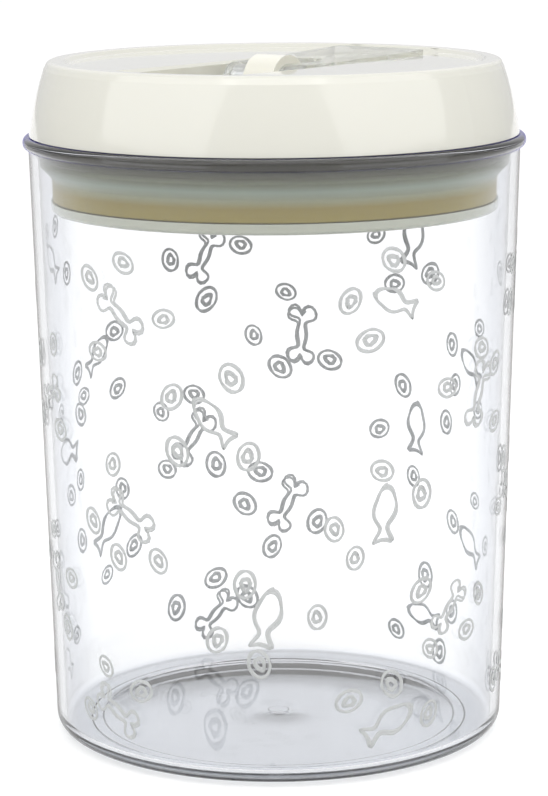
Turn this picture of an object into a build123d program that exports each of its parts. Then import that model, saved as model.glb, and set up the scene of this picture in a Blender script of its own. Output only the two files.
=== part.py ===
from build123d import *
import math
import os

# Food storage jar with a flip-lever airtight lid, in millimetres.
# Origin: centre of the face it stands on, +Z up. The hinge runs along X, and the lever points to +Y when locked.

# Jar
jarHeight = 172.2
baseRadius = 64.7
mouthRadius = 69.4
jarWall = 2.3
floorThickness = 2.6
baseCorner = 4.0
footHeight = 0.8
footInset = 9.9
footWidth = 3.3
gateRadius = 3.0
gateHeight = 0.4
beadProud = 1.6
beadHeight = 3.4
mouthEdge = 0.8

# Lid cover
lidSeatGap = 0.3
lidHeight = 20.7
skirtInset = 0.2
skirtWall = 2.3
sideLean = 4.4
sideBulge = 0.6
shoulderRun = 1.2
shoulderDrop = 2.2
rimWidth = 4.2
rimStep = 1.3
panelDish = 0.5
panelThickness = 2.4
cornerRound = 1.6

# Trough across the lid, which the lever lies in
troughWidth = 35.5
troughEndMargin = 3.7
troughDepth = 17.2
troughWall = 2.0
troughFloor = 2.2
troughCorner = 5.0
troughRound = 1.5
troughLip = 0.6
ribThickness = 1.6
ribSpacing = 30.0
ribDepth = 9.0

# Pull stem with its drum head, and the pin through it
pinRise = 10.7
pinRadius = 2.0
pinInset = 0.5
bossFit = 0.03
runningFit = 0.05
drumRadius = 7.5
stemRadius = 5.25
stemSlack = 0.45
guideRadius = 9.0

# Flip lever and its cam
drawStroke = 2.4
camLift = 7.7
camGap = 0.15
cheekGap = 0.25
cheekSideGap = 4.05
leverEndGap = 3.0
leverSideGap = 1.25
leverTipRise = 6.5
leverTipThickness = 5.3
leverCorner = 5.0
tailCorner = 1.2
forkDepth = 19.0
paddleStart = 13.0
waistReach = 24.0
waistThickness = 6.0
tipRound = 1.8
padThickness = 1.5
padLength = 19.0
padInset = 0.2

# Seal carrier, the ring that closes the cover and backs the gasket
carrierThickness = 2.5
carrierSlack = 0.7
carrierUpstand = 5.2
carrierWall = 2.0
carrierEdge = 0.5
lipDepth = 2.4
lipWidth = 2.0
lipSlack = 0.3

# Gasket
gasketWallGap = 0.3
gasketHeight = 14.2
gasketBand = 3.5
gasketCone = 4.5
gasketNeckStep = 3.8
gasketThickness = 2.6
gasketEdge = 0.6
gasketEndGap = 0.15

# Pressure plate
flangeThickness = 3.0
flangeProud = 0.5
flangeRound = 1.2
webThickness = 2.2
centringHeight = 5.9
centringWall = 2.3
centringSlack = 0.3
hubRadius = 9.0
hubHeight = 6.4
plateRibs = 8
plateRibHeight = 3.2
plateRibThickness = 1.8

# Spring and fasteners
springTurns = 4.0
springWire = 1.2
springSlack = 1.0
springEndGap = 0.15
recessRadius = 5.2
recessDepth = 3.4
screwRadius = 2.0
screwLength = 13.5
screwHeadRadius = 3.6
screwHeadHeight = 1.9
driveRadius = 1.3
driveDepth = 1.1
washerSlack = 0.6
washerThickness = 0.5
plugSlack = 0.1
plugThickness = 0.7
plugWall = 0.8
plugHeight = 2.0
bossSpacingX = 76.0
bossSpacingY = 60.0
bossRadius = 3.6
tapRadius = 1.5
tapLength = 10.0
tapHeadRadius = 2.8
tapHeadHeight = 1.8

# Levels and radii that follow from those sizes
footOuterRadius = baseRadius - footInset
beadBottom = jarHeight - beadHeight
mouthInner = mouthRadius - jarWall
baseInner = baseRadius - jarWall
floorLevel = footHeight + floorThickness
skirtBottom = jarHeight + lidSeatGap
rimLevel = skirtBottom + lidHeight
skirtRadius = mouthRadius - skirtInset
shoulderRadius = skirtRadius - sideLean
rimOuter = shoulderRadius - shoulderRun
rimInner = rimOuter - rimWidth
panelLevel = rimLevel - rimStep
troughLevel = rimLevel - troughDepth
troughUnder = troughLevel - troughFloor
troughLength = 2 * (rimInner - troughEndMargin)
pinHeight = troughLevel + pinRise
drumWidth = 2 * stemRadius
padTop = pinHeight - camLift
padBottom = padTop - padThickness
cheekInner = drumWidth / 2 + cheekGap
cheekOuter = troughWidth / 2 - cheekSideGap
cheekThickness = cheekOuter - cheekInner
leverReach = troughLength / 2 - leverEndGap
leverTipWidth = troughWidth - 2 * leverSideGap
carrierRadius = mouthInner - carrierSlack
carrierTop = troughUnder - troughFloor - runningFit
carrierBottom = carrierTop - carrierThickness
gasketTop = carrierBottom - gasketEndGap
gasketBottom = gasketTop - gasketHeight
flangeTop = gasketBottom - gasketEndGap
plateBottom = flangeTop - flangeThickness
hubTop = plateBottom + hubHeight


def wallRadius(height):
    """Outer radius of the tapered jar wall at a height."""
    share = (height - footHeight) / (beadBottom - footHeight)
    return baseRadius + (mouthRadius - baseRadius) * share


bandHeight = gasketTop - gasketBand
gasketRadius = wallRadius(bandHeight) - jarWall - gasketWallGap
neckRadius = gasketRadius - gasketNeckStep
neckInner = neckRadius - gasketThickness
bandInner = gasketRadius - gasketThickness
flangeRadius = neckRadius + flangeProud


def turned(corners):
    """Solid of revolution about Z from (radius, height, corner rounding) triples."""
    outline = FilletPolyline(*[c[:2] for c in corners], radius=[c[2] for c in corners], close=True)
    return revolve(Plane.XZ * make_face(outline), Axis.Z, 360)


def disc(radius, bottom, top):
    """Upright cylinder between two heights."""
    return Pos(0, 0, (bottom + top) / 2) * Cylinder(radius, top - bottom)


def block(low, high):
    """Box from its low corner to its high corner."""
    size = [b - a for a, b in zip(low, high)]
    middle = [(a + b) / 2 for a, b in zip(low, high)]
    return Pos(*middle) * Box(*size)


def crossBar(radius, halfLength, height):
    """Cylinder along X at a height."""
    return Pos(0, 0, height) * Rot(0, 90, 0) * Cylinder(radius, 2 * halfLength)


def jarBody():
    footInner = footOuterRadius - footWidth
    rimRadius = mouthRadius + beadProud
    jar = turned([
        (0, footHeight, 0),
        (footInner, footHeight, 0),
        (footInner, 0, 0),
        (footOuterRadius, 0, 0),
        (footOuterRadius, footHeight, 0),
        (baseRadius, footHeight, baseCorner),
        (mouthRadius, beadBottom, 0),
        (rimRadius, beadBottom, beadProud * 0.95),
        (rimRadius, jarHeight, beadProud * 0.95),
        (mouthInner, jarHeight, mouthEdge),
        (baseInner, floorLevel, baseCorner - jarWall / 2),
        (0, floorLevel, 0),
    ])
    return jar + disc(gateRadius, footHeight - gateHeight, footHeight)


def lidShell():
    """Skirt, shoulder, raised rim and dished panel in one wall."""
    middle = (skirtBottom + rimLevel - shoulderDrop) / 2
    shoulder = rimLevel - shoulderDrop
    bulgeRadius = (skirtRadius + shoulderRadius) / 2 + sideBulge
    under = panelLevel - panelThickness
    outer = ThreePointArc((skirtRadius, skirtBottom), (bulgeRadius, middle), (shoulderRadius, shoulder))
    over = FilletPolyline(
        (shoulderRadius, shoulder),
        (rimOuter, rimLevel),
        (rimInner, rimLevel),
        (rimInner - rimStep, panelLevel),
        (0, panelLevel - panelDish),
        radius=[cornerRound, cornerRound / 2, cornerRound / 2],
    )
    inner = ThreePointArc(
        (shoulderRadius - skirtWall, under),
        (bulgeRadius - skirtWall, middle),
        (skirtRadius - skirtWall, skirtBottom),
    )
    lines = [
        outer,
        over,
        Line((0, panelLevel - panelDish), (0, under)),
        Line((0, under), (shoulderRadius - skirtWall, under)),
        inner,
        Line((skirtRadius - skirtWall, skirtBottom), (skirtRadius, skirtBottom)),
    ]
    return revolve(Plane.XZ * make_face(Curve() + lines), Axis.Z, 360)


def lidCover():
    under = panelLevel - panelThickness
    wallX = troughWidth / 2 + troughWall
    wallY = troughLength / 2 + troughWall
    tray = Pos(0, 0, troughUnder) * extrude(
        RectangleRounded(2 * wallX, 2 * wallY, troughCorner + troughWall), under - troughUnder
    )
    hollow = Pos(0, 0, troughLevel) * extrude(
        RectangleRounded(troughWidth, troughLength, troughCorner), troughDepth + 1
    )
    hollow = fillet(hollow.faces().sort_by(Axis.Z)[0].edges(), troughRound)
    hollow += Pos(0, 0, panelLevel - panelDish - troughLip) * extrude(
        RectangleRounded(troughWidth, troughLength, troughCorner), 2 * panelDish + 2 * troughLip, taper=-45
    )
    cover = lidShell() + tray - hollow
    ribs = [
        block((wallX - 0.2, y - ribThickness / 2, under - ribDepth), (skirtRadius, y + ribThickness / 2, under))
        for y in (-ribSpacing, 0, ribSpacing)
    ]
    ribs += [rib.mirror(Plane.YZ) for rib in ribs]
    core = turned([
        (0, skirtBottom, 0),
        (skirtRadius - skirtWall / 2, skirtBottom, 0),
        (shoulderRadius - skirtWall / 2, under, 0),
        (0, under, 0),
    ])
    for rib in ribs:
        cover += rib & core
    for place in GridLocations(bossSpacingX, bossSpacingY, 2, 2):
        cover += place * disc(bossRadius, carrierTop, under)
    for side in (-1, 1):
        low = side * (cheekInner + padInset)
        high = side * (cheekOuter + padInset)
        cover += block(
            (min(low, high), -padLength / 2, troughLevel - 0.5), (max(low, high), padLength / 2, padBottom)
        )
    cover += disc(guideRadius, carrierTop, troughUnder)
    cover -= disc(stemRadius + runningFit, carrierTop - 1, troughLevel + 1)
    for place in GridLocations(bossSpacingX, bossSpacingY, 2, 2):
        cover -= place * disc(tapRadius + bossFit, carrierTop - 1, carrierTop + tapLength)
    return cover


def camPads():
    """Wear strips under the two cheeks, on plinths in the trough floor."""
    pads = []
    for side in (-1, 1):
        middle = side * (cheekInner + padInset + cheekThickness / 2)
        pads.append(Pos(middle, 0, (padTop + padBottom) / 2) * Box(cheekThickness, padLength, padThickness))
    return Compound(children=pads)


def sealCarrier():
    lipOuter = bandInner - lipSlack
    carrier = turned([
        (stemRadius + stemSlack, carrierBottom, 0),
        (lipOuter - lipWidth, carrierBottom, 0),
        (lipOuter - lipWidth, carrierBottom - lipDepth, 0),
        (lipOuter, carrierBottom - lipDepth, 0),
        (lipOuter, carrierBottom, 0),
        (carrierRadius, carrierBottom, carrierEdge),
        (carrierRadius, carrierTop + carrierUpstand, 0),
        (carrierRadius - carrierWall, carrierTop + carrierUpstand, 0),
        (carrierRadius - carrierWall, carrierTop, 0),
        (stemRadius + stemSlack, carrierTop, 0),
    ])
    for place in GridLocations(bossSpacingX, bossSpacingY, 2, 2):
        carrier -= place * disc(tapRadius + stemSlack, carrierBottom - 1, carrierTop + 1)
    return carrier


def screw(shankRadius, shankLength, headRadius, headHeight, headTop):
    """Pan-head screw pointing up, with the head's seat at headTop."""
    low = headTop - headHeight
    body = turned([
        (0, low, 0),
        (headRadius * 0.7, low, 0),
        (headRadius, low + headHeight / 2, 0),
        (headRadius, headTop, 0),
        (shankRadius, headTop, 0),
        (shankRadius, headTop + shankLength, 0),
        (0, headTop + shankLength, 0),
    ])
    return body - Pos(0, 0, low) * extrude(RegularPolygon(driveRadius, 6), driveDepth)


def carrierScrews():
    one = screw(tapRadius, tapLength, tapHeadRadius, tapHeadHeight, carrierBottom)
    return Compound(children=[place * one for place in GridLocations(bossSpacingX, bossSpacingY, 2, 2)])


def gasket():
    return turned([
        (bandInner, gasketTop, 0),
        (gasketRadius, gasketTop, gasketEdge),
        (gasketRadius, bandHeight, gasketEdge),
        (neckRadius, bandHeight - gasketCone, 2 * gasketEdge),
        (neckRadius, gasketBottom, 0),
        (neckInner, gasketBottom, 0),
        (neckInner, bandHeight - gasketCone - gasketEdge, 0),
        (bandInner, bandHeight - gasketEdge, 0),
    ])


def pressurePlate():
    centringOuter = neckInner - centringSlack
    centringInner = centringOuter - centringWall
    webTop = plateBottom + webThickness
    wallTop = flangeTop + centringHeight
    plate = turned([
        (0, plateBottom, 0),
        (flangeRadius, plateBottom, flangeRound),
        (flangeRadius, flangeTop, 0),
        (centringOuter, flangeTop, 0),
        (centringOuter, wallTop, 0),
        (centringInner, wallTop, 0),
        (centringInner, webTop, 0),
        (hubRadius, webTop, 0),
        (hubRadius, hubTop, 0),
        (0, hubTop, 0),
    ])
    ribMiddle = (hubRadius + centringInner) / 2
    ribLength = centringInner - hubRadius + 1.0
    rib = Pos(ribMiddle, 0, webTop + plateRibHeight / 2 - 0.1) * Box(
        ribLength, plateRibThickness, plateRibHeight + 0.2
    )
    for place in PolarLocations(0, plateRibs):
        plate += place * rib
    plate -= disc(recessRadius, plateBottom - 1, plateBottom + recessDepth)
    return plate - disc(screwRadius + stemSlack / 2, plateBottom, hubTop + 1)


def pullStem():
    """Round stem, its half-drum head and the bores for the pin and the screw."""
    stem = disc(stemRadius, hubTop, pinHeight)
    stem += crossBar(drumRadius, drumWidth / 2, pinHeight)
    stem -= crossBar(pinRadius + bossFit, drumWidth, pinHeight)
    return stem - disc(screwRadius + bossFit, hubTop - 1, hubTop + screwLength - recessDepth)


def pivotPin():
    pin = crossBar(pinRadius, cheekOuter - pinInset, pinHeight)
    return chamfer(pin.edges().filter_by(GeomType.CIRCLE), pinRadius * 0.15)


def camOutline():
    """Cam edge whose reach falls evenly from locked to released as the lever turns by half a turn."""
    lockedReach = camLift - camGap
    slope = -drawStroke / math.pi
    points = []
    steps = 12
    for step in range(steps + 1):
        angle = math.pi * step / steps
        reach = lockedReach + slope * angle
        y = -reach * math.sin(angle) - slope * math.cos(angle)
        z = -reach * math.cos(angle) + slope * math.sin(angle)
        points.append((y, z))
    return points


def flipLever():
    cam = camOutline()
    foot = cam[0]
    crown = cam[-1]
    side = Spline(*cam, tangents=[(-1, 0), (1, 0)])
    rest = FilletPolyline(
        crown,
        (paddleStart, crown[1]),
        (leverReach, leverTipRise),
        (leverReach, leverTipRise - leverTipThickness),
        (waistReach, crown[1] - waistThickness),
        (foot[0] + 4, foot[1]),
        foot,
        radius=[20, tipRound, tipRound, 12, 4],
    )
    profile = Plane.YZ * make_face(Curve() + [side, rest])
    slab = Pos(-leverTipWidth, 0, pinHeight) * extrude(profile, 2 * leverTipWidth)
    tail = -camLift
    plan = FilletPolyline(
        (-cheekOuter, tail),
        (cheekOuter, tail),
        (cheekOuter, paddleStart),
        (leverTipWidth / 2, leverReach),
        (-leverTipWidth / 2, leverReach),
        (-cheekOuter, paddleStart),
        radius=[tailCorner, tailCorner, 40, leverCorner, leverCorner, 40],
        close=True,
    )
    forkEnd = forkDepth - cheekInner
    fork = make_face(Polyline(
        (-cheekInner, 2 * tail), (cheekInner, 2 * tail), (cheekInner, forkEnd), (-cheekInner, forkEnd), close=True
    )) + Pos(0, forkEnd) * Circle(cheekInner)
    blank = extrude(make_face(plan) - fork, 2 * rimLevel)
    lever = slab & blank
    return lever - crossBar(pinRadius + runningFit, 2 * cheekOuter, pinHeight)


def returnSpring():
    wire = springWire / 2
    radius = stemRadius + springSlack + wire
    low = hubTop + springEndGap + wire
    rise = carrierBottom - springEndGap - wire - low
    coil = Helix(pitch=rise / springTurns, height=rise, radius=radius)
    section = Plane(origin=coil @ 0, z_dir=coil % 0) * RegularPolygon(wire, 8)
    return Pos(0, 0, low) * sweep(section, path=coil)


def plateScrew():
    seat = plateBottom + recessDepth - washerThickness
    return screw(screwRadius, screwLength, screwHeadRadius, screwHeadHeight, seat)


def plateWasher():
    top = plateBottom + recessDepth
    ring = disc(recessRadius - washerSlack, top - washerThickness, top)
    return ring - disc(screwRadius + runningFit, top - 2, top + 1)


def screwPlug():
    outer = recessRadius - plugSlack
    return turned([
        (0, plateBottom, 0),
        (outer, plateBottom, 0),
        (outer, plateBottom + plugHeight, 0),
        (outer - plugWall, plateBottom + plugHeight, 0),
        (outer - plugWall, plateBottom + plugThickness, 0),
        (0, plateBottom + plugThickness, 0),
    ])


pieces = {
    "jar_body": jarBody,
    "lid_cover": lidCover,
    "cam_pads": camPads,
    "seal_carrier": sealCarrier,
    "carrier_screws": carrierScrews,
    "gasket": gasket,
    "pressure_plate": pressurePlate,
    "pull_stem": pullStem,
    "pivot_pin": pivotPin,
    "flip_lever": flipLever,
    "return_spring": returnSpring,
    "plate_screw": plateScrew,
    "plate_washer": plateWasher,
    "screw_plug": screwPlug,
}

os.makedirs("parts", exist_ok=True)
for name, make in pieces.items():
    export_step(make(), f"parts/{name}.step")
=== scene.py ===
import math
import random

import bmesh
import bpy
from mathutils import Matrix, Vector


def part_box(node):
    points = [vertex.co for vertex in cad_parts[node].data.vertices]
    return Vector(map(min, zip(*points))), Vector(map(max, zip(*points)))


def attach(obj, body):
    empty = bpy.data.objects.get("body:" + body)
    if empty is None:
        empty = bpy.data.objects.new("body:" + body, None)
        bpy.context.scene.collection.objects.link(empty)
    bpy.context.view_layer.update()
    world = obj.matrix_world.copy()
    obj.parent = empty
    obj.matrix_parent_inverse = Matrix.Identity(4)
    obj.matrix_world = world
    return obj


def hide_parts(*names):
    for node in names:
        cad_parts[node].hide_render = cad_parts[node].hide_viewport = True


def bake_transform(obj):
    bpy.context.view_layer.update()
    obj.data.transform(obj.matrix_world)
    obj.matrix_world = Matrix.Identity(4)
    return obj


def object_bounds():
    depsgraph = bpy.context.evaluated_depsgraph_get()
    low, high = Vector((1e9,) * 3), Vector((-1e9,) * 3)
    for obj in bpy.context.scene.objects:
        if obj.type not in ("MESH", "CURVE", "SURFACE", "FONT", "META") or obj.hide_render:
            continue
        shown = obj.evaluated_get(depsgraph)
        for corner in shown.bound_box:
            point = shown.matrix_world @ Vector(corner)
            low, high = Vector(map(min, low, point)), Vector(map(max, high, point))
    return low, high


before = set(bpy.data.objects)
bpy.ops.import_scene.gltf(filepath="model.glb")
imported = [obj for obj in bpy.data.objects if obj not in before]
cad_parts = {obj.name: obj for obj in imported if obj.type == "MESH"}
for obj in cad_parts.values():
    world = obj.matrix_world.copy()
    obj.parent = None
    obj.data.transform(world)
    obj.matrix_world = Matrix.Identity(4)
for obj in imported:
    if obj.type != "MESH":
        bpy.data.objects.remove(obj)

cadLow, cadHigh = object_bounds()
scene = bpy.context.scene
mm = 0.001


# node maths: a socket that is added, multiplied and raised to powers like a number
class Flow:
    def __init__(self, tree, socket):
        self.tree = tree
        self.socket = socket

    def math(self, operation, *others):
        return self.tree.node("ShaderNodeMath", {"operation": operation}, [self, *others])

    def sin(self):
        return self.math("SINE")

    def cos(self):
        return self.math("COSINE")

    def __add__(self, other):
        return self.math("ADD", other)

    __radd__ = __add__

    def __sub__(self, other):
        return self.math("SUBTRACT", other)

    def __rsub__(self, other):
        return self.tree.node("ShaderNodeMath", {"operation": "SUBTRACT"}, [other, self])

    def __mul__(self, other):
        return self.math("MULTIPLY", other)

    __rmul__ = __mul__

    def __truediv__(self, other):
        return self.math("DIVIDE", other)

    def __pow__(self, other):
        return self.math("POWER", other)

    def clamp(self):
        return self.tree.node("ShaderNodeClamp", {}, [self])


class Tree:
    # a node tree; node() makes any node and returns one of its outputs
    def __init__(self, tree):
        self.nodes = tree.nodes
        self.links = tree.links

    def plug(self, socket, value):
        if isinstance(value, Flow):
            value = value.socket
        if isinstance(value, bpy.types.NodeSocket):
            self.links.new(value, socket)
        else:
            socket.default_value = value

    def node(self, kind, settings=None, values=None, output=0):
        made = self.nodes.new(kind)
        for key, value in (settings or {}).items():
            if key == "stops":
                ramp = made.color_ramp
                while len(ramp.elements) < len(value):
                    ramp.elements.new(0.5)
                for element, (place, colour) in zip(ramp.elements, value):
                    element.position = place
                    element.color = colour
            else:
                setattr(made, key, value)
        pairs = values.items() if isinstance(values, dict) else enumerate(values or [])
        for key, value in pairs:
            for item in value if isinstance(value, list) else [value]:
                self.plug(made.inputs[key], item)
        return Flow(self, made.outputs[output]) if made.outputs else made

    def mixColour(self, share, low, high, blend="MIX"):
        # a Mix node takes its colours on inputs 6 and 7, and gives a colour on output 2
        settings = {"data_type": "RGBA", "blend_type": blend}
        return self.node("ShaderNodeMix", settings, {0: share, 6: low, 7: high}, output=2)


class Finish(Tree):
    # a material and its shader tree
    def __init__(self, name):
        self.material = bpy.data.materials.new(name)
        self.material.use_nodes = True
        self.material.node_tree.nodes.clear()
        super().__init__(self.material.node_tree)
        self.coords = None

    def here(self):
        return self.coords or self.node("ShaderNodeTexCoord", output=3)

    def place(self, scale):
        return self.node("ShaderNodeMapping", {}, {"Vector": self.here(), "Scale": scale})

    def height(self):
        return self.node("ShaderNodeSeparateXYZ", {}, [self.here()], output=2)

    def noise(self, scale, detail, stretch=(1, 1, 1)):
        values = {"Vector": self.place(stretch), "Scale": scale, "Detail": detail}
        return self.node("ShaderNodeTexNoise", {}, values)

    def bump(self, height, strength, distance):
        values = {"Height": height, "Strength": strength, "Distance": distance}
        return self.node("ShaderNodeBump", {}, values)

    def surface(self, shader):
        out = self.nodes.new("ShaderNodeOutputMaterial")
        self.plug(out.inputs["Surface"], shader)
        return self.material


def settle(piece):
    # the piece keeps what its modifiers make of it, as a plain mesh
    depsgraph = bpy.context.evaluated_depsgraph_get()
    result = bpy.data.meshes.new_from_object(piece.evaluated_get(depsgraph))
    piece.modifiers.clear()
    piece.data = result


class Growth(Tree):
    # a geometry tree with named number inputs; grow() runs it on a mesh and gives the plain result
    def __init__(self, name, sizes):
        self.group = bpy.data.node_groups.new(name, "GeometryNodeTree")
        super().__init__(self.group)
        face = self.group.interface
        face.new_socket("Geometry", in_out="INPUT", socket_type="NodeSocketGeometry")
        self.sockets = {}
        for label, value in sizes.items():
            kind = "NodeSocketInt" if isinstance(value, int) else "NodeSocketFloat"
            socket = face.new_socket(label, in_out="INPUT", socket_type=kind)
            self.sockets[label] = (socket.identifier, value)
        face.new_socket("Geometry", in_out="OUTPUT", socket_type="NodeSocketGeometry")
        given = self.nodes.new("NodeGroupInput")
        self.given = {label: Flow(self, given.outputs[label]) for label in ["Geometry", *sizes]}

    def attribute(self, label, kind):
        return self.node("GeometryNodeInputNamedAttribute", {"data_type": kind}, {"Name": label})

    def index(self):
        return self.node("GeometryNodeInputIndex")

    def vector(self, x, y, z):
        return self.node("ShaderNodeCombineXYZ", {}, [x, y, z])

    def split(self, vector):
        made = self.node("ShaderNodeSeparateXYZ", {}, [vector]).socket.node
        return [Flow(self, socket) for socket in made.outputs]

    def move(self, geometry, place):
        return self.node("GeometryNodeSetPosition", {}, {"Geometry": geometry, "Position": place})

    def finish(self, geometry, material):
        whole = self.node("GeometryNodeRealizeInstances", {}, [geometry])
        dressed = self.node("GeometryNodeSetMaterial", {}, {"Geometry": whole, "Material": material})
        self.node("NodeGroupOutput", {}, [dressed])

    def grow(self, name, mesh):
        piece = bpy.data.objects.new(name, mesh)
        scene.collection.objects.link(piece)
        modifier = piece.modifiers.new(name, "NODES")
        modifier.node_group = self.group
        for identifier, value in self.sockets.values():
            modifier[identifier] = value
        settle(piece)
        return piece


def rgb(r, g, b):
    # a colour as the eye reads it, from 0 to 255, in the linear values that shaders take
    def linear(v):
        v = v / 255
        return v / 12.92 if v <= 0.04045 else ((v + 0.055) / 1.055) ** 2.4
    return (linear(r), linear(g), linear(b), 1.0)


def glossyWhite(name, colour, roughness, ripple=0.03, shade=0.965, dullness=0.05):
    # moulded plastic with a faint cloud of a darker shade and duller shine, and a fine ripple
    look = Finish(name)
    cloud = look.noise(scale=18, detail=3)
    fine = look.noise(scale=900, detail=2)
    darker = tuple(channel * shade for channel in colour[:3]) + (1.0,)
    tint = look.mixColour(cloud, colour, darker)
    shine = roughness + dullness * cloud
    shader = look.node("ShaderNodeBsdfPrincipled", {}, {
        "Base Color": tint,
        "Roughness": shine,
        "IOR": 1.5,
        "Coat Weight": 0.9,
        "Coat Roughness": 0.06,
        "Subsurface Weight": 0.06,
        "Subsurface Radius": (0.004, 0.004, 0.003),
        "Subsurface Scale": 1.0,
        "Normal": look.bump(fine, strength=ripple, distance=0.2 * mm),
    })
    return look.surface(shader)


clear = {
    "roughness": 0.012,
    "ripple": 0.02,
    "rippleDepth": 0.4 * mm,
    "rimStart": 0.82,
    "rimSlope": 8,
    "rimShare": 0.85,
    "rimRoughness": 0.3,
    "rimGloss": 0.1,
}


def clearPlastic(name, ior, shade, edges, zones=(), rimShadeTone=None, straight=0.0, rippleScale=60):
    # clear plastic bends light, lets the lamps through to what it holds, and darkens seen edge on,
    # partly for the longer path through the wall and partly as painted shade for the dark lines at
    # its edges; straight is the share of light that it lets through unbent, and each zone tints it
    # by height: (no tint from, full tint from, colour, edge colour)
    look = Finish(name)
    facing = look.node("ShaderNodeLayerWeight", {}, {"Blend": 0.5}, output=1)
    tone = look.node("ShaderNodeValToRGB", {"stops": edges}, [facing])
    height = look.height()
    for low, high, colour, edgeColour in zones:
        share = ((height - low) * (1 / (high - low))).clamp()
        tone = look.mixColour(share, tone, colour, "MULTIPLY")
        rimShadeTone = look.mixColour(share, rimShadeTone, edgeColour)
    wave = look.noise(rippleScale, detail=1)
    glass = look.node("ShaderNodeBsdfPrincipled", {}, {
        "Base Color": tone,
        "Roughness": clear["roughness"],
        "IOR": ior,
        "Transmission Weight": 1.0,
        "Normal": look.bump(wave, clear["ripple"], clear["rippleDepth"]),
    })
    # edge on, a dark dull shader is mixed in: painted shade at the edges
    if rimShadeTone:
        rim = look.node("ShaderNodeBsdfPrincipled", {}, {
            "Base Color": rimShadeTone,
            "Roughness": clear["rimRoughness"],
            "Specular IOR Level": clear["rimGloss"],
        })
        grazing = ((facing - clear["rimStart"]) * clear["rimSlope"]).clamp()
        glass = look.node("ShaderNodeMixShader", {}, [grazing * clear["rimShare"], glass, rim])
    through = look.node("ShaderNodeBsdfTransparent", {}, {"Color": shade})
    if straight:
        glass = look.node("ShaderNodeMixShader", {}, [straight, glass, through])
    lamp = look.node("ShaderNodeLightPath", output=1)
    return look.surface(look.node("ShaderNodeMixShader", {}, [lamp, glass, through]))


def siliconeRubber(name, low, high, stops, mottle=0.14):
    # its tone runs up its height, read from the restPlace attribute
    look = Finish(name)
    look.coords = look.node("ShaderNodeAttribute", {"attribute_name": "restPlace"}, output=1)
    share = (look.height() - low) * (1 / (high - low))
    body = look.node("ShaderNodeValToRGB", {"stops": stops}, [share.clamp()])
    cloud = look.noise(scale=45, detail=3)
    mottled = look.mixColour(cloud * mottle, body, rgb(110, 114, 92))
    fine = look.noise(scale=1400, detail=2)
    shader = look.node("ShaderNodeBsdfPrincipled", {}, {
        "Base Color": mottled,
        "Roughness": 0.3 + 0.12 * cloud,
        "IOR": 1.41,
        "Subsurface Weight": 0.3,
        "Subsurface Radius": (0.006, 0.006, 0.004),
        "Subsurface Scale": 0.6,
        "Normal": look.bump(fine, strength=0.06, distance=0.3 * mm),
    })
    return look.surface(shader)


def brushedSteel(name):
    look = Finish(name)
    grain = look.noise(scale=600, detail=3, stretch=(1, 1, 8))
    shader = look.node("ShaderNodeBsdfPrincipled", {}, {
        "Base Color": rgb(214, 215, 216),
        "Metallic": 1.0,
        "Roughness": 0.3 + 0.2 * grain,
        "Normal": look.bump(grain, strength=0.08, distance=0.2 * mm),
    })
    return look.surface(shader)


def printInk(name):
    look = Finish(name)
    patch = look.noise(scale=240, detail=3)
    tone = look.mixColour(patch, rgb(184, 186, 186), rgb(200, 202, 202))
    shader = look.node("ShaderNodeBsdfPrincipled", {}, {
        "Base Color": tone,
        "Roughness": 0.38 + 0.2 * patch,
        "Specular IOR Level": 0.4,
    })
    return look.surface(shader)


# how clear plastic darkens from face on (0) to edge on (1): partly the longer path through the wall,
# partly painted shade for the dark lines at its edges
edgeShadeTones = [
    (0.0, (0.995, 0.996, 1.0, 1)),
    (0.42, (0.96, 0.97, 0.985, 1)),
    (0.62, (0.72, 0.735, 0.77, 1)),
    (0.74, (0.62, 0.635, 0.67, 1)),
    (0.88, (0.42, 0.42, 0.44, 1)),
    (1.0, (0.30, 0.28, 0.27, 1)),
]
# the lever darkens edge on too, more faintly, by the same painted shade
leverEdgeShadeTones = [
    (0.0, (0.99, 0.995, 0.995, 1)),
    (0.8, (0.965, 0.98, 0.975, 1)),
    (1.0, (0.88, 0.9, 0.9, 1)),
]
lidWhite = glossyWhite("lid_white", rgb(219, 218, 208), 0.1)
stemWhite = glossyWhite("stem_white", rgb(236, 234, 222), 0.2)
# the pressure plate and its plug are painted a darker grey-white: painted shade for the shadow they
# sit in under the lid
plateShadedWhite = glossyWhite("plate_painted_shade", rgb(176, 179, 162), 0.24, ripple=0.05)
# the seal carrier is painted dark olive: painted shade for the dark gap behind the bead, between the
# lid's skirt and the carrier
carrierShadeDark = glossyWhite("carrier_painted_shade", rgb(68, 65, 44), 0.35, ripple=0.05)
acetalWhite = glossyWhite("acetal", rgb(236, 236, 228), 0.36, ripple=0.08)
beadZone = (0.1674, 0.1690, (0.82, 0.82, 0.86, 1), rgb(84, 80, 172))
baseZone = (0.0055, 0.0, (0.92, 0.935, 0.97, 1), rgb(212, 215, 222))
jarClear = clearPlastic(
    "jar_clear", 1.5, (0.965, 0.97, 0.975, 1), edgeShadeTones, [beadZone, baseZone],
    rimShadeTone=rgb(60, 56, 54))
leverClear = clearPlastic(
    "lever_clear", 1.49, (0.97, 0.975, 0.975, 1), leverEdgeShadeTones, straight=0.4, rippleScale=90)
# amber on the thin neck below, grey-green on the cone, and darker up the sealing band above, which
# is painted shade under the lid
sealToneAndShade = siliconeRubber("seal_silicone", 0.1547, 0.1689, [
    (0.0, rgb(146, 130, 52)),
    (0.26, rgb(141, 125, 52)),
    (0.42, rgb(150, 152, 124)),
    (0.58, rgb(154, 167, 154)),
    (0.72, rgb(116, 122, 102)),
    (0.86, rgb(66, 68, 48)),
    (1.0, rgb(38, 37, 24)),
])
steel = brushedSteel("stainless")
ink = printInk("print_ink")
print("materials made")


def dress(node, material):
    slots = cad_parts[node].data.materials
    for index in range(len(slots)):
        slots[index] = material
    if not slots:
        slots.append(material)


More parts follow.
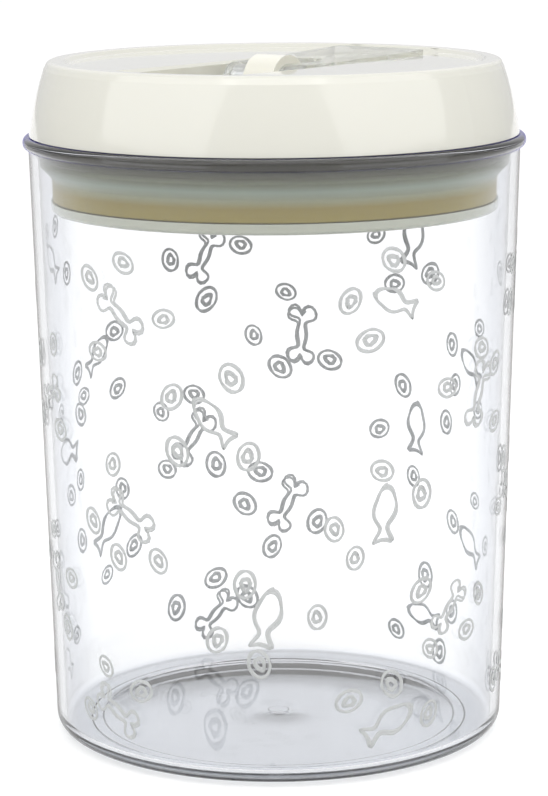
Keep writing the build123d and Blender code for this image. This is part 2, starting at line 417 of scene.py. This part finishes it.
for node, material in {
    "lid_cover": lidWhite,
    "cam_pads": acetalWhite,
    "seal_carrier": carrierShadeDark,
    "carrier_screws": steel,
    "pull_stem": stemWhite,
    "pivot_pin": steel,
    "return_spring": steel,
    "plate_screw": steel,
    "plate_washer": steel,
    "screw_plug": plateShadedWhite,
    "pressure_plate": plateShadedWhite,
}.items():
    dress(node, material)


def smooth(mesh, degrees=32):
    mesh.polygons.foreach_set("use_smooth", [True] * len(mesh.polygons))
    mesh.set_sharp_from_angle(angle=math.radians(degrees))


def roundedOutline(corners, steps):
    # (radius, height, rounding) corners of a closed outline, with each rounding as an arc
    points = []
    count = len(corners)
    for index, (x, y, rounding) in enumerate(corners):
        here = Vector((x, y))
        if rounding <= 0:
            points.append(here)
            continue
        before = (Vector(corners[index - 1][:2]) - here).normalized()
        after = (Vector(corners[(index + 1) % count][:2]) - here).normalized()
        half = before.angle(after) / 2
        reach = rounding / math.tan(half)
        centre = here + (before + after).normalized() * (rounding / math.sin(half))
        start = here + before * reach - centre
        end = here + after * reach - centre
        sweep = start.angle_signed(end)
        for step in range(steps + 1):
            turn = Matrix.Rotation(-sweep * step / steps, 2)
            points.append(centre + turn @ start)
    return points


def turnedPiece(name, outline, material, steps):
    # turns an outline of (radius, height) points about Z: each row of a grid is one step of the turn
    path = bpy.data.meshes.new(name)
    path.from_pydata([(point.x * mm, 0, point.y * mm) for point in outline], [], [])
    tree = Growth(name + "_turning", {"Steps": steps, "Points": len(outline), "Merge": 1e-6})
    rows = tree.given["Steps"] + 1
    sheet = tree.node("GeometryNodeMeshGrid", {}, {
        "Size X": 1.0, "Size Y": 1.0, "Vertices X": tree.given["Points"], "Vertices Y": rows})
    row = tree.node("ShaderNodeMath", {"operation": "FLOOR"}, [(tree.index() + 0.5) / rows])
    step = tree.index() - row * rows
    point = tree.node("GeometryNodeSampleIndex", {"data_type": "FLOAT_VECTOR"}, {
        "Geometry": tree.given["Geometry"],
        "Value": tree.node("GeometryNodeInputPosition"),
        "Index": row,
    })
    radius, _, height = tree.split(point)
    angle = step * (2 * math.pi) / tree.given["Steps"]
    turned = tree.move(sheet, tree.vector(radius * angle.cos(), radius * angle.sin(), height))
    merging = {"Geometry": turned, "Distance": tree.given["Merge"]}
    closed = tree.node("GeometryNodeMergeByDistance", {}, merging)
    tree.finish(closed, material)
    piece = tree.grow(name, path)
    tidyNormals(piece.data)
    smooth(piece.data)
    return piece


def tidyNormals(mesh):
    work = bmesh.new()
    work.from_mesh(mesh)
    bmesh.ops.recalc_face_normals(work, faces=work.faces)
    work.to_mesh(mesh)
    work.free()


# jar
jar = {
    "rim": cadHigh.x / mm,
    "top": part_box("jar_body")[1].z / mm,
    "beadProud": 1.6,
    "beadHeight": 3.4,
    "wall": 2.3,
    "baseRadius": 64.7,
    "floor": 2.6,
    "foot": 0.8,
    "footInset": 9.9,
    "footWidth": 3.3,
    "corner": 4.0,
    "gateRadius": 3.0,
    "gateHeight": 0.4,
    "gateRound": 0.15,
    "footStepRound": 0.3,
    "footRound": 0.35,
    "beadStepRound": 0.35,
    "beadRoundShare": 0.95,
    "mouthRound": 0.8,
    "roundSteps": 8,
    "steps": 256,
}


def jarWallRadius(height):
    share = (height - jar["foot"]) / (jar["top"] - jar["beadHeight"] - jar["foot"])
    return jar["baseRadius"] + (jar["rim"] - jar["beadProud"] - jar["baseRadius"]) * share


def makeJar():
    mouth = jar["rim"] - jar["beadProud"]
    footOuter = jar["baseRadius"] - jar["footInset"]
    footInner = footOuter - jar["footWidth"]
    floor = jar["foot"] + jar["floor"]
    bead = jar["top"] - jar["beadHeight"]
    beadRound = jar["beadProud"] * jar["beadRoundShare"]
    gate = jar["foot"] - jar["gateHeight"]
    outline = roundedOutline([
        (0, gate, 0),
        (jar["gateRadius"], gate, jar["gateRound"]),
        (jar["gateRadius"], jar["foot"], jar["gateRound"]),
        (footInner, jar["foot"], jar["footStepRound"]),
        (footInner, 0, jar["footRound"]),
        (footOuter, 0, jar["footRound"]),
        (footOuter, jar["foot"], jar["footStepRound"]),
        (jar["baseRadius"], jar["foot"], jar["corner"]),
        (mouth, bead, jar["beadStepRound"]),
        (jar["rim"], bead, beadRound),
        (jar["rim"], jar["top"], beadRound),
        (mouth - jar["wall"], jar["top"], jar["mouthRound"]),
        (jar["baseRadius"] - jar["wall"], floor, jar["corner"] - jar["wall"] / 2),
        (0, floor, 0),
    ], jar["roundSteps"])
    piece = turnedPiece("jar_shell", outline, jarClear, jar["steps"])
    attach(piece, "jar")
    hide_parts("jar_body")


makeJar()
print("jar made")


# print: scribbled bones, fish and kibble rings, wrapped on the outside of the wall
printed = {
    "line": 0.64,
    "thickness": 0.05,
    "gap": 0.03,
    "wobble": 3.2,
    "wobbleRate": 0.31,
    "inward": 0.07,
    "rows": [18, 46, 74, 102, 130],
    "columns": 6,
    "kinds": ["bone", "fish", "ring"],
    "jitter": 9.0,
    "upJitter": 0.4,
    "motifSize": (1.02, 1.3),
    "ringReach": 12.5,
    "ringReachShare": (0.9, 1.2),
    "ringSpread": (0.72, 0.95),
    "ringSize": (0.85, 1.12),
    "ringTurn": (0, 6.28),
    "ringsEach": 4,
    "seed": 11,
    "topEdge": 146.0,
    "bottomEdge": 8.0,
    "middle": 80.0,
}
# each outline is a sum of waves, in millimetres: a wave is (cycles in a lap, reach of its cosine
# in x, reach of its sine in y)
motifs = {
    "bone": {"laps": 2.04, "points": 110, "waves": [
        (1, 7.22, 2.41), (3, -0.4, 1.69), (5, -0.18, -0.23), (7, -0.81, -0.77), (9, -0.32, 0.02)]},
    "fish": {"laps": 2.04, "points": 110, "waves": [
        (1, 6.57, 2.71), (2, 0.77, 0.3), (3, 0.22, 1.01), (4, 0.34, -0.63), (5, -0.11, 0.16),
        (6, 0.24, 0.15)]},
    "ring": {"laps": 2.3, "points": 55, "waves": [(1, 3.1, 3.7), (2, 0.2, 0.25)]},
    "core": {"laps": 3.4, "points": 55, "waves": [(1, 1.35, 1.75), (2, 0.2, -0.1)]},
}


def motifCurve(tree, name, profile):
    # a hand-drawn loop: an open curve of several laps, each a little off the last
    shape = motifs[name]
    count = shape["points"]
    line = tree.node("GeometryNodeCurvePrimitiveLine", {}, {"End": (1.0, 0, 0)})
    points = tree.node("GeometryNodeResampleCurve", {}, {"Curve": line, "Count": count})
    turn = tree.index() * (2 * math.pi * shape["laps"] / (count - 1))
    x, y = 0, 0
    for cycles, along, across in shape["waves"]:
        x = (turn * cycles).cos() * (along * mm) + x
        y = (turn * cycles).sin() * (across * mm) + y
    stray = tree.vector(turn * printed["wobbleRate"], len(name), 0.7)
    noise = {"Vector": stray, "Scale": 1.0, "Detail": 1.0}
    drift = tree.node("ShaderNodeTexNoise", {}, noise, output=1)
    driftX, driftY, _ = tree.split(drift)
    reach = tree.given["Wobble"] * mm
    # each lap lies a little inside the last
    inward = 1.0 - tree.given["Inward"] * turn * (1 / (2 * math.pi))
    x = x * inward + (driftX - 0.5) * reach
    y = y * inward + (driftY - 0.5) * reach
    shaped = tree.move(points, tree.vector(x, y, 0.0))
    drawing = {"Curve": shaped, "Profile Curve": profile, "Fill Caps": True}
    return tree.node("GeometryNodeCurveToMesh", {}, drawing)


def printLayout():
    # where each motif lies on the unrolled wall: (along, up, turn, size, kind)
    dice = random.Random(printed["seed"])
    around = 2 * math.pi * jarWallRadius(printed["middle"])
    ring = len(printed["kinds"]) - 1  # the last kind
    spots = []
    for row, height in enumerate(printed["rows"]):
        for column in range(printed["columns"]):
            along = (column + 0.5 * (row % 2) + 0.5) * around / printed["columns"]
            along += dice.uniform(-1, 1) * printed["jitter"]
            up = height
            up += dice.uniform(-printed["upJitter"], printed["upJitter"]) * printed["jitter"]
            turn = dice.uniform(0, math.pi)
            kind = (row + column) % ring
            spots.append((along, up, turn, dice.uniform(*printed["motifSize"]), kind))
            start = dice.uniform(0, 2 * math.pi)
            for number in range(printed["ringsEach"]):
                spread = dice.uniform(*printed["ringSpread"])
                angle = start + number * 2 * math.pi / printed["ringsEach"] * spread
                reach = printed["ringReach"] * dice.uniform(*printed["ringReachShare"])
                ringAlong = along + reach * math.cos(angle)
                ringUp = up + reach * math.sin(angle)
                turn = dice.uniform(*printed["ringTurn"])
                spots.append((ringAlong, ringUp, turn, dice.uniform(*printed["ringSize"]), ring))
    return [spot for spot in spots if printed["bottomEdge"] < spot[1] < printed["topEdge"]]


def makePrint():
    spots = printLayout()
    mesh = bpy.data.meshes.new("print_spots")
    mesh.from_pydata([(spot[0] * mm, spot[1] * mm, 0) for spot in spots], [], [])
    for label, kind, place in (("turn", "FLOAT", 2), ("size", "FLOAT", 3), ("kind", "INT", 4)):
        layer = mesh.attributes.new(label, kind, "POINT")
        layer.data.foreach_set("value", [spot[place] for spot in spots])
    middle = jarWallRadius(printed["middle"])
    tree = Growth("wall_print", {
        "Line Width": printed["line"],
        "Thickness": printed["thickness"],
        "Gap": printed["gap"],
        "Wobble": printed["wobble"],
        "Inward": printed["inward"],
        "Low Radius": jarWallRadius(0),
        "Radius Gain": jarWallRadius(1) - jarWallRadius(0),
        "Middle Radius": middle,
    })
    size = tree.given
    profile = tree.node("GeometryNodeCurvePrimitiveQuadrilateral", {}, {
        "Width": size["Line Width"] * mm, "Height": size["Thickness"] * mm})
    drawn = {name: motifCurve(tree, name, profile) for name in motifs}
    drawn["ring"] = tree.node("GeometryNodeJoinGeometry", {}, {0: [drawn["ring"], drawn["core"]]})
    # a join lists its last link first, so the kinds go in backwards
    parts = [
        tree.node("GeometryNodeGeometryToInstance", {}, [drawn[kind]])
        for kind in reversed(printed["kinds"])
    ]
    placed = tree.node("GeometryNodeInstanceOnPoints", {}, {
        "Points": size["Geometry"],
        "Instance": tree.node("GeometryNodeJoinGeometry", {}, {0: parts}),
        "Pick Instance": True,
        "Instance Index": tree.attribute("kind", "INT"),
        "Rotation": tree.vector(0.0, 0.0, tree.attribute("turn", "FLOAT")),
        "Scale": tree.attribute("size", "FLOAT"),
    })
    flat = tree.node("GeometryNodeRealizeInstances", {}, [placed])
    along, up, out = tree.split(tree.node("GeometryNodeInputPosition"))
    lift = (size["Gap"] + size["Thickness"] * 0.5) * mm
    radius = size["Low Radius"] * mm + up * size["Radius Gain"] + out + lift
    angle = along / (size["Middle Radius"] * mm)
    wrapped = tree.move(flat, tree.vector(radius * angle.cos(), radius * angle.sin(), up))
    tree.finish(wrapped, ink)
    piece = tree.grow("wall_print", mesh)
    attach(piece, "jar")
    print("print has", len(piece.data.polygons), "faces")


makePrint()


# gasket: a turned ring between the lid and the plate
seal = {
    "edge": 0.6,
    "band": 3.5,
    "cone": 4.5,
    "neckStep": 3.8,
    "thickness": 2.6,
    "groove": 0.25,
    "grooveTop": 1.6,
    "grooveFoot": 1.2,
    "smallRound": 0.3,
    "neckRound": 1.4,
    "endRound": 0.4,
    "innerRound": 0.8,
    "roundSteps": 6,
    "steps": 224,
}


def makeGasket():
    low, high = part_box("gasket")
    outer = high.x / mm
    top = high.z / mm
    bottom = low.z / mm
    band = top - seal["band"]
    neck = outer - seal["neckStep"]
    inside = outer - seal["thickness"]
    neckInside = neck - seal["thickness"]
    outline = roundedOutline([
        (inside, top, seal["smallRound"]),
        (outer, top, seal["edge"]),
        (outer, band + seal["grooveTop"], seal["smallRound"]),
        (outer - seal["groove"], band + seal["grooveFoot"], seal["smallRound"]),
        (outer, band, seal["edge"]),
        (neck, band - seal["cone"], seal["neckRound"]),
        (neck, bottom, seal["endRound"]),
        (neckInside, bottom, seal["endRound"]),
        (neckInside, band - seal["cone"] - seal["edge"], seal["innerRound"]),
        (inside, band - seal["edge"], seal["innerRound"]),
    ], seal["roundSteps"])
    piece = turnedPiece("seal_ring", outline + outline[:1], sealToneAndShade, seal["steps"])
    mesh = piece.data
    rest = mesh.attributes.new("restPlace", "FLOAT_VECTOR", "POINT")
    rest.data.foreach_set("vector", [number for vertex in mesh.vertices for number in vertex.co])
    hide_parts("gasket")
    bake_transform(piece)


makeGasket()
print("gasket made")


# return spring: round wire with closed end turns
spring = {
    "wireRadius": 0.6,
    "turns": 3.0,
    "endTurns": 0.9,
    "endPitch": 1.9,
    "steps": 40,
    "sides": 12,
    "smoothBelow": 50,
}


def makeSpring():
    low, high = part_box("return_spring")
    wire = spring["wireRadius"] * mm
    turns = spring["turns"] + 2 * spring["endTurns"]
    tree = Growth("spring_winding", {
        "Radius": high.x - wire,
        "Wire": wire,
        "Low": low.z + wire,
        "Rise": high.z - low.z - 2 * wire,
        "Turns": turns,
        "End": spring["endTurns"],
    })
    size = tree.given
    count = int(turns * spring["steps"])
    line = tree.node("GeometryNodeCurvePrimitiveLine", {}, {"End": (1.0, 0, 0)})
    points = tree.node("GeometryNodeResampleCurve", {}, {"Curve": line, "Count": count})
    turn = tree.index() / (count - 1) * size["Turns"]
    climb = ((turn - size["End"]) / (size["Turns"] - 2 * size["End"])).clamp()
    nested = size["Wire"] * spring["endPitch"]  # an end turn lies on its neighbour
    lower = turn.math("MINIMUM", size["End"]) * nested
    upper = (turn - (size["Turns"] - size["End"])).math("MAXIMUM", 0.0) * nested
    up = size["Low"] + lower + climb * (size["Rise"] - nested * 2 * size["End"]) + upper
    angle = turn * (2 * math.pi)
    along = size["Radius"] * angle.cos()
    across = size["Radius"] * angle.sin()
    path = tree.move(points, tree.vector(along, across, up))
    circle = tree.node("GeometryNodeCurvePrimitiveCircle", {}, {
        "Resolution": spring["sides"], "Radius": size["Wire"]})
    wound = tree.node("GeometryNodeCurveToMesh", {}, {
        "Curve": path, "Profile Curve": circle, "Fill Caps": True})
    tree.finish(wound, steel)
    piece = tree.grow("wound_spring", bpy.data.meshes.new("spring_path"))
    tidyNormals(piece.data)
    smooth(piece.data, spring["smoothBelow"])
    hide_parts("return_spring")
    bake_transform(piece)


makeSpring()
print("spring made")


# lever: its edges are rounded, as moulded plastic has them
lever = {
    "merge": 0.002,
    "flatBelow": 0.6,
    "round": 0.55,
    "roundSteps": 3,
    "roundAbove": 28,
    "smoothBelow": 30,
}


def softened(node, name, material, body):
    # a merged copy of a rigid node with its sharp edges rounded
    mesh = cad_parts[node].data.copy()
    work = bmesh.new()
    work.from_mesh(mesh)
    bmesh.ops.remove_doubles(work, verts=work.verts, dist=lever["merge"] * mm)
    flat = math.radians(lever["flatBelow"])
    bmesh.ops.dissolve_limit(work, angle_limit=flat, verts=work.verts, edges=work.edges)
    work.to_mesh(mesh)
    work.free()
    mesh.materials.clear()
    mesh.materials.append(material)
    piece = bpy.data.objects.new(name, mesh)
    scene.collection.objects.link(piece)
    bevel = piece.modifiers.new("edges", "BEVEL")
    bevel.width = lever["round"] * mm
    bevel.segments = lever["roundSteps"]
    bevel.limit_method = "ANGLE"
    bevel.angle_limit = math.radians(lever["roundAbove"])
    bevel.miter_outer = "MITER_ARC"
    settle(piece)
    smooth(piece.data, lever["smoothBelow"])
    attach(piece, body)
    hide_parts(node)


softened("flip_lever", "lever_clear", leverClear, "lever")
print("lever made")


# camera: the place and lens that the rim, base and lid of the photograph give
shot = {
    "azimuth": 39.0,
    "side": -0.63,
    "away": 797.6,
    "height": 252.46,
    "pitch": 11.122,
    "roll": -0.4285,
    "focalPixels": 2821.57,
    "longSide": 796,
    "sensor": 36.0,
    "near": 0.05,
    "far": 20,
}


def makeCamera():
    turn = Matrix.Rotation(math.radians(shot["azimuth"]), 4, "Z")
    lens = bpy.data.cameras.new("camera")
    lens.sensor_width = shot["sensor"]
    lens.lens = shot["focalPixels"] * shot["sensor"] / shot["longSide"]
    lens.clip_start = shot["near"]
    lens.clip_end = shot["far"]
    camera = bpy.data.objects.new("camera", lens)
    scene.collection.objects.link(camera)
    tilt = Matrix.Rotation(math.radians(90 - shot["pitch"]), 4, "X")
    lean = Matrix.Rotation(math.radians(shot["roll"]), 4, "Z")
    spot = Matrix.Translation(Vector((shot["side"], -shot["away"], shot["height"])) * mm)
    camera.matrix_world = turn @ spot @ tilt @ lean
    scene.camera = camera


makeCamera()


# studio: a pale floor and surround, two wide soft boxes beside the camera and one high above it
studio = {
    "floorHalf": 6.0,
    "floorTone": (0.93, 0.93, 0.93, 1),
    "floorShade": (0.915, 0.915, 0.915, 1),
    "floorGlow": 0.18,
    "zenith": 1.16,
    "horizon": 0.3,
    "backGlow": 0.42,
    "backFocus": 3,
    "boxSize": (1.35, 1.1),
    "boxTurn": 58,
    "boxRise": 33,
    "boxDistance": 1.25,
    "boxPower": 3.9,
    "frontRise": 62,
    "frontSize": (0.9, 0.7),
    "frontPower": 2.2,
    "aim": 0.12,
}


def makeFloor():
    mesh = bpy.data.meshes.new("floor")
    half = studio["floorHalf"]
    corners = [(-half, -half, 0), (half, -half, 0), (half, half, 0), (-half, half, 0)]
    mesh.from_pydata(corners, [], [(0, 1, 2, 3)])
    look = Finish("floor_pale")
    cloud = look.noise(scale=3, detail=2)
    tone = look.mixColour(cloud, studio["floorTone"], studio["floorShade"])
    shader = look.node("ShaderNodeBsdfPrincipled", {}, {
        "Base Color": tone,
        "Roughness": 0.6,
        "Emission Color": (1, 1, 1, 1),
        "Emission Strength": studio["floorGlow"],
    })
    mesh.materials.append(look.surface(shader))
    floor = bpy.data.objects.new("floor", mesh)
    scene.collection.objects.link(floor)


def makeSurround():
    world = bpy.data.worlds.new("surround")
    scene.world = world
    world.use_nodes = True
    world.node_tree.nodes.clear()
    sky = Tree(world.node_tree)
    ray = sky.node("ShaderNodeTexCoord")
    up = sky.node("ShaderNodeSeparateXYZ", {}, [ray], output=2).clamp()
    a = math.radians(shot["azimuth"])
    back = (-math.sin(a), math.cos(a), 0)
    behind = sky.node("ShaderNodeVectorMath", {"operation": "DOT_PRODUCT"}, [ray, back], output=1)
    level = studio["horizon"] + (studio["zenith"] - studio["horizon"]) * up
    level += studio["backGlow"] * behind.clamp() ** studio["backFocus"]
    light = sky.node("ShaderNodeBackground", {}, {"Color": (1, 1, 1, 1), "Strength": level})
    sky.node("ShaderNodeOutputWorld", {}, {"Surface": light})


def softBox(name, turn, rise, size, power):
    # turn is counted from the camera, rise from the floor; the box faces the middle of the part
    a = math.radians(shot["azimuth"] + turn)
    e = math.radians(rise)
    outward = Vector((math.sin(a) * math.cos(e), -math.cos(a) * math.cos(e), math.sin(e)))
    lamp = bpy.data.lights.new(name, "AREA")
    lamp.shape = "RECTANGLE"
    lamp.size, lamp.size_y = size
    lamp.energy = power
    box = bpy.data.objects.new(name, lamp)
    box.location = Vector((0, 0, studio["aim"])) + outward * studio["boxDistance"]
    box.rotation_euler = (-outward).to_track_quat("-Z", "Y").to_euler()
    scene.collection.objects.link(box)


makeFloor()
makeSurround()
for name, turn in (("left_box", -studio["boxTurn"]), ("right_box", studio["boxTurn"])):
    softBox(name, turn, studio["boxRise"], studio["boxSize"], studio["boxPower"])
softBox("front_box", 0, studio["frontRise"], studio["frontSize"], studio["frontPower"])
scene.view_settings.view_transform = "Standard"
print("studio made")
